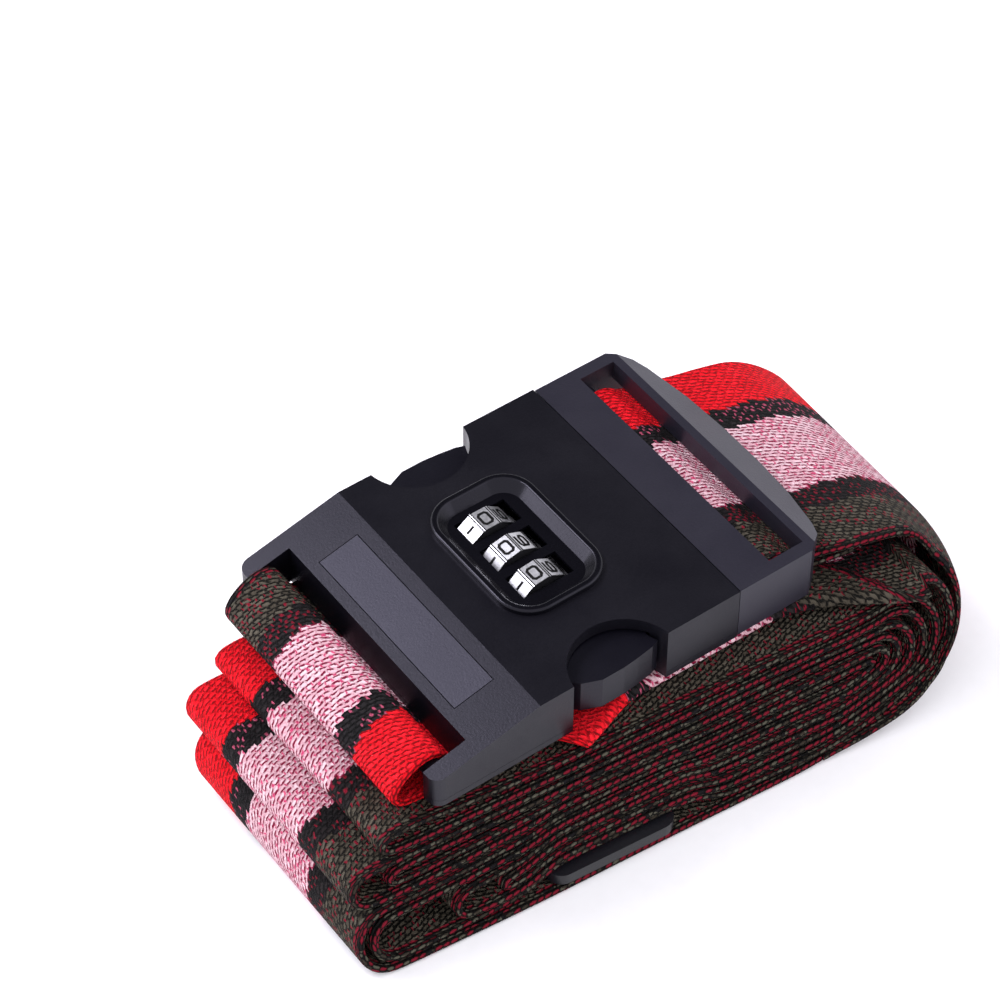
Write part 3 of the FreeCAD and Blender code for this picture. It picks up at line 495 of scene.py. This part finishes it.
# How far each turn reaches, by the two layers it joins.
RIGHT_TURNS = {(8, 9): 23.5, (7, 10): 26.5, (6, 11): 29.0, (5, 12): 31.8, (4, 13): 34.6,
               (3, 14): 37.5, (2, 15): 40.8}
LEFT_TURNS = {(3, 4): -72.0, (5, 8): -79.0, (6, 7): -72.0, (9, 16): -80.0, (10, 15): -77.5,
              (11, 14): -62.0, (12, 13): -53.0}
# The order in which the strap runs through the layers.
ORDER = [2, 15, 10, 7, 6, 11, 14, 3, 4, 13, 12, 5, 8, 9, 16]
# The least pitch between two layers, the creased layer's height and the web slider's.
PITCH = 1.46
CREASED_LAYER_Z = 25.5
SLIDER_TOP = 4.3
GRID = np.arange(-90.0, 60.0, 0.5)


def lower_rise(x):
    """How far the lowest layer lifts towards the right end."""
    return np.interp(x, [3, 10, 19, 27, 33.5, 39, 44], [0, 0.3, 1.5, 3.3, 5.6, 8.6, 12.5])


def layer_heights():
    """Height of every layer over the grid, each one clear of the layer below."""
    left = np.clip((-25 - GRID) / 40, 0, 1) ** 2
    right = np.clip((GRID + 10) / 30, 0, 1) ** 2
    over_slider = np.interp(GRID, [-50, -43, -16, -9], [0, 1, 1, 0])
    heights = {}
    for number, (at_left, middle, at_right) in LAYERS.items():
        heights[number] = middle + (at_left - middle) * left + (at_right - middle) * right
    heights[16] = heights[16] + smoothed(lower_rise(GRID), 9)
    lifted = SLIDER_TOP + HALF_THICK + 0.08
    heights[15] = np.maximum(heights[15], heights[15] * (1 - over_slider) + lifted * over_slider)
    for number in range(15, 2, -1):
        below = heights[number + 1]
        heights[number] = smoothed(np.maximum(heights[number], below + PITCH), 7)
    heights[2] = np.maximum(CREASED_LAYER_Z, heights[3] + PITCH * 0.99)
    return heights


HEIGHTS = layer_heights()


def height(number, x):
    return np.interp(x, GRID, HEIGHTS[number])


def middle_line(x, z):
    """The y of the folded strap's middle at a place in its side view."""
    return -8.5 - 0.09 * (x + 15) + np.interp(z, [0.5, 27.5, 33.7], [-7, 2, 4])


def turn(upper, lower, tip, side):
    """A half-ellipse between two layers, from the upper one to the lower one.

    Its reach follows from the layers' distance where it starts, so it is found by repetition.
    """
    reach = 10.0 if side > 0 else 3.0
    for unused in range(12):
        x = tip - side * reach
        half = (height(upper, x) - height(lower, x)) / 2
        half = max(half, 0.74)
        if side > 0:
            reach = min(half * 1.0, 8.0)
        else:
            reach = half * 0.9 if half > 2 else half * 1.3
    angle = np.linspace(0, np.pi, max(10, int(half * 6)))
    x = tip - side * reach
    middle = (height(upper, x) + height(lower, x)) / 2
    return np.stack([x + side * reach * np.sin(angle), middle + half * np.cos(angle)], 1), x


def coil_path():
    """The side view (x, z) of the folded strap from layer 2's start to layer 16's end."""
    runs = []
    x_from = -40.0
    for n, number in enumerate(ORDER):
        if n + 1 < len(ORDER):
            pair = tuple(sorted((number, ORDER[n + 1])))
            side = 1 if n % 2 == 0 else -1
            tips = RIGHT_TURNS if side > 0 else LEFT_TURNS
            arc, x_to = turn(pair[0], pair[1], tips[pair], side)
            if number != pair[0]:
                arc = arc[::-1]
        else:
            arc, x_to = None, 10.0
        xs = np.linspace(x_from, x_to, max(3, int(abs(x_to - x_from) / 1.5)))
        runs.append(np.stack([xs, height(number, xs)], 1)[:-1 if arc is not None else None])
        if arc is not None:
            runs.append(arc[:-1])
            x_from = x_to
    return np.concatenate(runs)


# The sewn end, as (x, z): under the socket, round its web bar and back under itself.
BUCKLE_LOOP = [
    (-40.5, 27.0), (-47, 27.15), (-53.6, 27.25), (-56.3, 28.9), (-57.0, 31.6), (-57.9, 34.0),
    (-60.2, 35.1), (-63.4, 34.3), (-66.2, 32.0), (-67.2, 29.6), (-66.0, 27.3), (-63, 26.35),
    (-58, 25.95), (-50, 25.6),
]

# The half twist under the buckle runs between these x. CREASE is where across the webbing the
# crease is, CREASE_Y its y, both by x, and CREASE_Z its height.
TWIST_FROM, TWIST_TO = -37.0, 34.5
CREASE_Z = 26.3
CREASE = [(-37.5, 26.4), (-34, 25), (-22, 13), (-18, 8.5), (8, -9.5), (14, -14), (20, -17.5),
          (29, -23.5), (32.5, -25.3), (35, -26.4)]
CREASE_Y = [(-70, -25.3), (-58, -25.3), (-45, -25.4), (-38.5, -26.4), (-35.6, -32.2), (-30, -30.2),
            (-22, -27.4), (8, -27.8), (14, -29.3), (20, -32), (29, -38), (32.5, -40), (35, -40.7),
            (40, -40.2)]
# The crease's radius, the length that the sewn end's loop takes up, and the skew of the turns.
FOLD_R = 0.8
LOOP_LENGTH = 40.0
SHEAR = 0.03


def table_at(table, x):
    places, values = zip(*table)
    return np.interp(x, places, values)


def lying_section(centre, normal, shear, outline):
    """A section that lies right side up, skewed a little by shear."""
    across, through = outline
    return centre + np.array([shear, 1, 0]) * across[:, None] + normal * through[:, None]


def flipped_section(centre, normal, outline):
    """A section that lies wrong side up."""
    across, through = outline
    return centre - np.array([0, 1, 0]) * across[:, None] - normal * through[:, None]


def creased_section(x, crease, crease_y, lean, outline):
    """A section folded over along the crease, its upper flap leaning ahead by an angle."""
    across, through = outline
    angle = np.clip((across - crease) / FOLD_R, -math.pi / 2, math.pi / 2)
    beyond = np.maximum(np.abs(across - crease) - math.pi / 2 * FOLD_R, 0)
    upper = across < crease
    return np.stack([
        x + beyond * np.where(upper, math.sin(lean), 0.0),
        crease_y + FOLD_R * (1 - np.cos(angle)) + beyond * np.where(upper, math.cos(lean), 1.0)
        + through * np.cos(angle),
        CREASE_Z - FOLD_R * np.sin(angle) + through * np.sin(angle)], 1)


def side_frame(x, z):
    """Normals of a path in its side view."""
    tangent = flow(np.stack([x, np.zeros_like(x), z], 1))
    return np.stack([-tangent[:, 2], np.zeros_like(x), tangent[:, 0]], 1)


def coil_sections():
    """Outlines of the folded strap, from the web bar to the lowest layer."""
    start = spline(BUCKLE_LOOP, 1.0)
    path = even(np.vstack([start[:-1], coil_path()]), 1.0)
    length = arc_lengths(path)
    x, z = path.T
    in_first = np.arange(len(x)) < int(np.argmax(x > TWIST_TO))
    crease_y = smoothed(table_at(CREASE_Y, x), 5)
    y = np.where(in_first, crease_y + HALF_WIDTH + FOLD_R, middle_line(x, z))
    y = smoothed(y, 11)
    y[~in_first] += wave(length, 30, 0.5)[~in_first]
    normal = side_frame(x, z)

    crease = smoothed(table_at(CREASE, x), 5)
    lean = smoothed(np.arctan(-np.gradient(crease_y) / np.maximum(np.gradient(x), 0.3)), 5)
    lean = 2 * np.clip(lean, 0, 0.6) * np.clip(x / 8, 0, 1)
    past_loop = length > LOOP_LENGTH
    creased = in_first & (x > TWIST_FROM) & past_loop
    rise = np.clip((x + 46) / 9, 0, 1)
    rise = np.where(past_loop, rise * rise * (3 - 2 * rise), 0.0)
    lift = rise * np.maximum(0.0, CREASE_Z + FOLD_R - z)
    shear = SHEAR * np.clip((x + 20) / 60, 0, 1)
    sections = []
    across = [gathered(crease[i]) if creased[i] else EVEN for i in range(len(x))]
    for i, values in enumerate(across):
        centre = np.array([x[i], y[i], z[i]])
        outline = section_outline(values).T
        if creased[i]:
            section = creased_section(x[i], crease[i], crease_y[i], lean[i], outline)
        elif in_first[i]:
            section = flipped_section(centre + (0, 0, lift[i]), normal[i], outline)
        else:
            section = lying_section(centre, normal[i], shear[i], outline)
        sections.append(section)
    return np.array(sections), across, length


# The free end, as (x, z, y): under the plug, round its ladder bar, over and round the right end.
PLUG_LOOP = [
    (26.5, 31.4, -3.0), (20, 31.35, -1.8), (14, 31.5, -0.9), (10.4, 31.52, -0.7),
    (8.2, 32.3, -0.7), (7.42, 34.0, -0.7), (8.2, 35.75, -0.7), (10.0, 36.5, -0.7),
    (12.2, 35.9, -0.7), (14.6, 34.3, -0.8), (17.2, 33.55, -1.1), (20.5, 33.5, -2.0),
    (25, 33.5, -3.4), (30, 33.2, -4.5), (36, 31.6, -5.3), (41, 28.8, -6.8), (44.8, 25.2, -9.0),
    (46.6, 21.3, -11.6), (46.2, 17.3, -14.2), (43.7, 13.1, -16.8), (39.4, 9.4, -18.6),
    (33.5, 6.4, -19.4), (27, 4.05, -19.6), (19, 2.2, -18.9), (10.0, 1.0, -17.8),
]


def plug_sections():
    """Outlines of the strap's other end: over the ladder bar and round the right end."""
    path = spline(PLUG_LOOP, 0.8)
    length = arc_lengths(path)
    x, z, y = path.T
    normal = side_frame(x, z)
    outline = section_outline(EVEN).T
    # The near edge is pulled tighter round the right end than the rest.
    pull = np.clip((-12 - outline[0]) / 13, 0, 1) ** 2
    tight = np.interp(z, [3, 10, 26, 31], [0, 1, 1, 0]) * np.clip((x - 25) / 10, 0, 1)
    shear = SHEAR * np.clip((x - 14) / 20, 0, 1)
    sections = []
    for i in range(len(x)):
        section = lying_section(path[i, [0, 2, 1]], normal[i], shear[i], outline)
        section[:, 0] -= 3.5 * pull * tight[i]
        sections.append(section)
    return np.array(sections), [EVEN] * len(x), length


weave = webbing_material()
coil_outlines, coil_across, coil_length = coil_sections()
coil = strip_object("strap_folded", coil_outlines, coil_across, coil_length, weave)
plug_outlines, plug_across, plug_length = plug_sections()
plug_strap = strip_object("strap_plug_end", plug_outlines, plug_across, plug_length, weave)
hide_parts("webbing_bundle", "webbing_twist", "webbing_buckle_end")
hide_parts("webbing_plug_end")
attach(coil, "socket")
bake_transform(plug_strap)

# ---------------------------------------------------------------- buckle finishes
BLUISH = (0.86, 0.84, 1.0)
shell = plastic("shell_satin", (0.0026, 0.0024, 0.0044), 0.34, shine=0.34, tint=BLUISH)
plug_finish = plastic("plug_satin", (0.0130, 0.0120, 0.0190), 0.36, shine=0.50, tint=BLUISH)
button_finish = plastic("button_satin", (0.0024, 0.0022, 0.0050), 0.32, shine=0.34, tint=BLUISH)
bezel_finish = plastic("bezel_satin", (0.0018, 0.0017, 0.0032), 0.24, 0.006, 0.26, BLUISH)
label_finish = plastic("label_satin", (0.0070, 0.0066, 0.0130), 0.38, shine=0.50, tint=BLUISH)
slider_finish = plastic("slider_satin", (0.006, 0.006, 0.009), 0.4, shine=0.4)
inner_finish = plastic("inner_grey", (0.25, 0.25, 0.27), 0.5)
steel_finish = steel("drawn_steel")
thread_finish = plastic("thread_black", (0.02, 0.02, 0.02), 0.8)

FINISHES = {
    "upper_shell": shell, "lower_cover": shell, "label_plate": label_finish,
    "dial_bezel": bezel_finish, "plug_frame": plug_finish, "release_arm_left": button_finish,
    "release_arm_right": button_finish, "web_slider": slider_finish, "lock_slider": inner_finish,
    "reset_button": inner_finish, "dial_axle": steel_finish, "detent_spring": steel_finish,
    "lock_spring": steel_finish, "reset_spring": steel_finish, "cover_screws": steel_finish,
    "end_stitching": thread_finish, "code_sleeve_1": inner_finish,
    "code_sleeve_2": inner_finish, "code_sleeve_3": inner_finish,
}

ROUNDED = {"upper_shell": 0.3, "lower_cover": 0.2, "dial_bezel": 0.2, "plug_frame": 0.35,
           "release_arm_left": 0.4, "release_arm_right": 0.4, "web_slider": 0.35,
           "label_plate": 0.1}
for name, finish in FINISHES.items():
    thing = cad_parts[name]
    thing.data.materials.clear()
    thing.data.materials.append(finish)
    if name in ROUNDED:
        bevel = thing.modifiers.new("rounded", "BEVEL")
        bevel.width = ROUNDED[name] * MM
        bevel.segments = 3
        bevel.limit_method = "ANGLE"
        bevel.angle_limit = math.radians(32)
        bevel.harden_normals = True

# ---------------------------------------------------------------- number dials
# Each digit's strokes in a unit square.
DIGITS = [
    [[(0.15, 0), (0.85, 0), (1, 0.2), (1, 0.8), (0.85, 1), (0.15, 1), (0, 0.8), (0, 0.2),
      (0.15, 0)]],
    [[(0.5, 0), (0.5, 1)]],
    [[(0, 1), (0.8, 1), (1, 0.85), (1, 0.6), (0.8, 0.48), (0.2, 0.48), (0, 0.35), (0, 0), (1, 0)]],
    [[(0, 1), (0.8, 1), (1, 0.85), (1, 0.65), (0.8, 0.5), (1, 0.35), (1, 0.15), (0.8, 0), (0, 0)],
     [(0.8, 0.5), (0.35, 0.5)]],
    [[(0.75, 0), (0.75, 1), (0, 0.35), (1, 0.35)]],
    [[(1, 1), (0, 1), (0, 0.55), (0.8, 0.55), (1, 0.4), (1, 0.15), (0.8, 0), (0, 0)]],
    [[(1, 1), (0.25, 1), (0, 0.75), (0, 0.2), (0.2, 0), (0.8, 0), (1, 0.2), (1, 0.4),
      (0.8, 0.55), (0, 0.55)]],
    [[(0, 1), (1, 1), (0.4, 0)]],
    [[(0.2, 0.5), (0, 0.65), (0, 0.85), (0.2, 1), (0.8, 1), (1, 0.85), (1, 0.65), (0.8, 0.5),
      (0.2, 0.5), (0, 0.35), (0, 0.15), (0.2, 0), (0.8, 0), (1, 0.15), (1, 0.35), (0.8, 0.5)]],
    [[(1, 0.45), (0.2, 0.45), (0, 0.6), (0, 0.8), (0.2, 1), (0.8, 1), (1, 0.8), (1, 0.2),
      (0.8, 0), (0, 0)]],
]


def ribbon(stroke, width):
    """A stroke as quads of the given width, mitred at its corners."""
    line = np.asarray(stroke, float)
    runs = np.diff(line, axis=0)
    runs /= np.linalg.norm(runs, axis=1, keepdims=True)
    closed = np.allclose(line[0], line[-1])
    before = np.vstack([runs[-1:] if closed else runs[:1], runs])
    after = np.vstack([runs, runs[:1] if closed else runs[-1:]])
    across = np.stack([-(before + after)[:, 1], (before + after)[:, 0]], 1)
    across /= np.linalg.norm(across, axis=1, keepdims=True)
    square = np.stack([-before[:, 1], before[:, 0]], 1)
    reach = width / 2 / np.clip((across * square).sum(1), 0.5, 1)
    return line + across * reach[:, None], line - across * reach[:, None]


# The dial's measures: half its width, and the radii of its core, its facets and its bore.
DIAL_HALF, DIAL_CORE, DIAL_FACET, DIAL_BORE = 2.28, 5.40, 5.31, 2.37
FACET_HALF = 1.46
RIB_HALF = 0.08
CHAMFER = 0.08
GLYPH_WIDE, GLYPH_HIGH, STROKE = 2.5, 1.75, 0.50
GLYPH_PROUD, GLYPH_DEEP = 0.02, 0.1
STEP = 2 * math.pi / 10
DARK, BRIGHT, INK = 0, 1, 2


def rectangle(wide, high):
    """Corners of a rectangle from half its width and half its height."""
    return [(-wide, -high), (wide, -high), (wide, high), (-wide, high)]


def stack(levels, count):
    """Side faces between stacked loops of the same count of points."""
    return [(level * count + k, level * count + (k + 1) % count,
             (level + 1) * count + (k + 1) % count, (level + 1) * count + k)
            for level in range(levels) for k in range(count)]


class DialMesh:
    """Gathers the points, faces and finishes of one dial about its centre."""

    def __init__(self, centre):
        self.centre = np.array(centre)
        self.points, self.faces, self.slots = [], [], []

    def add(self, corners, loops, slots):
        start = len(self.points)
        self.points.extend(corners)
        self.faces.extend([tuple(start + c for c in loop) for loop in loops])
        self.slots.extend(slots)

    def place(self, angle, radius, w, h=0.0):
        """A point at a radius, w to the right and h up on the face that looks along angle."""
        out = np.array([math.cos(angle), 0, math.sin(angle)])
        up = np.array([math.sin(angle), 0, -math.cos(angle)])
        return tuple(self.centre + out * radius + np.array([0, -1, 0]) * w + up * h)

    def core(self, turned):
        """The ten-sided ring, with its bore."""
        rings = [self.place(turned + STEP / 2 + STEP * k, radius, w * DIAL_HALF)
                 for radius, w in ((DIAL_BORE, 1), (DIAL_CORE, 1), (DIAL_CORE, -1), (DIAL_BORE, -1))
                 for k in range(10)]
        loops = stack(3, 10)
        loops += [(30 + k, 30 + (k + 1) % 10, (k + 1) % 10, k) for k in range(10)]
        self.add(rings, loops, [DARK] * len(loops))

    def plate(self, angle, levels):
        """A bright plate with dark sides, from its (radius, half width, half height) levels."""
        corners = [self.place(angle, radius, w, h)
                   for radius, wide, high in levels for w, h in rectangle(wide, high)]
        sides = stack(len(levels) - 1, 4)
        last = 4 * (len(levels) - 1)
        self.add(corners, sides + [(3, 2, 1, 0), (last, last + 1, last + 2, last + 3)],
                 [DARK] * (len(sides) + 1) + [BRIGHT])

    def digit(self, angle, strokes):
        """A digit's strokes, standing a little proud of their facet."""
        for stroke in strokes:
            line = [((x - 0.5) * GLYPH_WIDE, (y - 0.5) * GLYPH_HIGH) for x, y in stroke]
            near, far = ribbon(line, STROKE)
            n = len(near)
            corners = [self.place(angle, DIAL_FACET + lift, *p)
                       for lift in (GLYPH_PROUD, -GLYPH_DEEP) for edge in (near, far)
                       for p in edge]
            loops = []
            rows = [0, n, 3 * n, 2 * n]
            for k in range(n - 1):
                loops += [(a + k, a + k + 1, b + k + 1, b + k)
                          for a, b in zip(rows, rows[1:] + rows[:1])]
            if not np.allclose(line[0], line[-1]):
                loops += [tuple(rows), tuple(row + n - 1 for row in rows[::-1])]
            self.add(corners, loops, [INK] * len(loops))


def number_dial(name, centre, turned, materials):
    """A dial: a dark core, bright facets with a rib between each two, and digits."""
    dial = DialMesh(centre)
    turned = math.radians(90 + turned)
    dial.core(turned)
    for digit in range(10):
        angle = turned + STEP * digit
        dial.plate(angle, ((DIAL_FACET - 0.30, DIAL_HALF, FACET_HALF),
                           (DIAL_FACET - 0.06, DIAL_HALF, FACET_HALF),
                           (DIAL_FACET, DIAL_HALF - CHAMFER, FACET_HALF - CHAMFER)))
        dial.plate(angle + STEP / 2, ((DIAL_FACET + 0.02, DIAL_HALF, RIB_HALF),
                                      (DIAL_FACET + 0.18, DIAL_HALF, RIB_HALF)))
        dial.digit(angle, DIGITS[digit])
    thing = mesh_object(name, np.array(dial.points) * MM, dial.faces, materials[0], smooth=False)
    for material in materials[1:]:
        thing.data.materials.append(material)
    for polygon, slot in zip(thing.data.polygons, dial.slots):
        polygon.material_index = slot
    return thing


core_finish = plastic("dial_core", (0.012, 0.012, 0.014), 0.4)
facet_finish = steel("dial_facet", (0.70, 0.70, 0.72), 0.36)
ink_finish = plastic("dial_ink", (0.003, 0.003, 0.003), 0.6, shine=0.15)
# Each dial shows its 0, a few degrees off the middle.
for number, turned in ((1, 0), (2, 11), (3, 6)):
    low, high = (np.array(corner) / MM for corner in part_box(f"number_dial_{number}"))
    dial = number_dial(f"dial_{number}_numbers", (low + high) / 2, turned,
                       (core_finish, facet_finish, ink_finish))
    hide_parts(f"number_dial_{number}")
    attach(dial, f"dial_{number}")


# ---------------------------------------------------------------- stage
def floor_material():
    """Pale, nearly plain paper."""
    g = Graph("floor_white")
    fine = g.noise(g.place(), 400.0, 2.0)
    shade = g.mix(g.map_range(fine, 0.3, 0.7), (0.94, 0.94, 0.94, 1), (0.96, 0.96, 0.96, 1))
    return g.surface(colour=shade, rough=0.9, normal=g.bump(fine, 0.02 * MM))


floor = mesh_object("floor", [(*corner, 0) for corner in rectangle(3, 3)], [(0, 1, 2, 3)],
                    floor_material(), smooth=False)

# Where the camera looks from, round and above, with its distance and its shifts in metres.
AZIMUTH, ELEVATION = math.radians(-36.1), math.radians(47.7)
DISTANCE, SHIFT_RIGHT, SHIFT_UP = 0.6, -0.0230, -0.0021
TARGET = Vector((0, 0, 0.0395))
BACK = Vector((math.sin(AZIMUTH) * math.cos(ELEVATION),
               -math.cos(AZIMUTH) * math.cos(ELEVATION), math.sin(ELEVATION)))
COOL = (0.91, 0.89, 1.0)


def studio_world():
    """An even sky but for one dim patch, which the buckle's level faces mirror to the camera."""
    world = bpy.data.worlds.new("studio")
    bpy.context.scene.world = world
    world.use_nodes = True
    tree = world.node_tree
    background = tree.nodes["Background"]
    background.inputs[0].default_value = (0.96, 0.95, 1.0, 1)
    facing = tree.nodes.new("ShaderNodeVectorMath")
    facing.operation = "DOT_PRODUCT"
    facing.inputs[1].default_value = (-BACK.x, -BACK.y, BACK.z)
    place = tree.nodes.new("ShaderNodeTexCoord").outputs["Generated"]
    tree.links.new(place, facing.inputs[0])
    strength = tree.nodes.new("ShaderNodeMapRange")
    for socket, number in zip(strength.inputs[1:5], (0.80, 0.97, 1.40, 0.12)):
        socket.default_value = number
    tree.links.new(facing.outputs["Value"], strength.inputs[0])
    tree.links.new(strength.outputs[0], background.inputs[1])


def area_light(name, place, size, power):
    """A square cool light that looks at the origin."""
    data = bpy.data.lights.new(name, "AREA")
    data.size = size
    data.energy = power
    data.color = COOL
    lamp = bpy.data.objects.new(name, data)
    lamp.location = place
    lamp.rotation_euler = (-Vector(place)).to_track_quat("-Z", "Y").to_euler()
    bpy.context.scene.collection.objects.link(lamp)


def aim_camera():
    """A long lens from the front left, above."""
    right = (-BACK).cross(Vector((0, 0, 1))).normalized()
    up = right.cross(-BACK)
    data = bpy.data.cameras.new("camera")
    data.lens = 126.43
    data.sensor_width = 36
    data.clip_start, data.clip_end = 0.05, 20
    camera = bpy.data.objects.new("camera", data)
    camera.matrix_world = Matrix((
        (right.x, up.x, BACK.x, 0), (right.y, up.y, BACK.y, 0), (right.z, up.z, BACK.z, 0),
        (0, 0, 0, 1)))
    camera.matrix_world.translation = (BACK * DISTANCE + right * SHIFT_RIGHT + up * SHIFT_UP
                                       + TARGET)
    bpy.context.scene.collection.objects.link(camera)
    bpy.context.scene.camera = camera


studio_world()
area_light("key", (-0.28, 0.38, 0.56), 0.30, 3.6)
area_light("fill", (0.45, -0.40, 0.45), 0.5, 1.0)
area_light("rim", (-0.55, 0.38, 0.19), 0.20, 0.7)
aim_camera()
bpy.context.scene.view_settings.view_transform = "Standard"
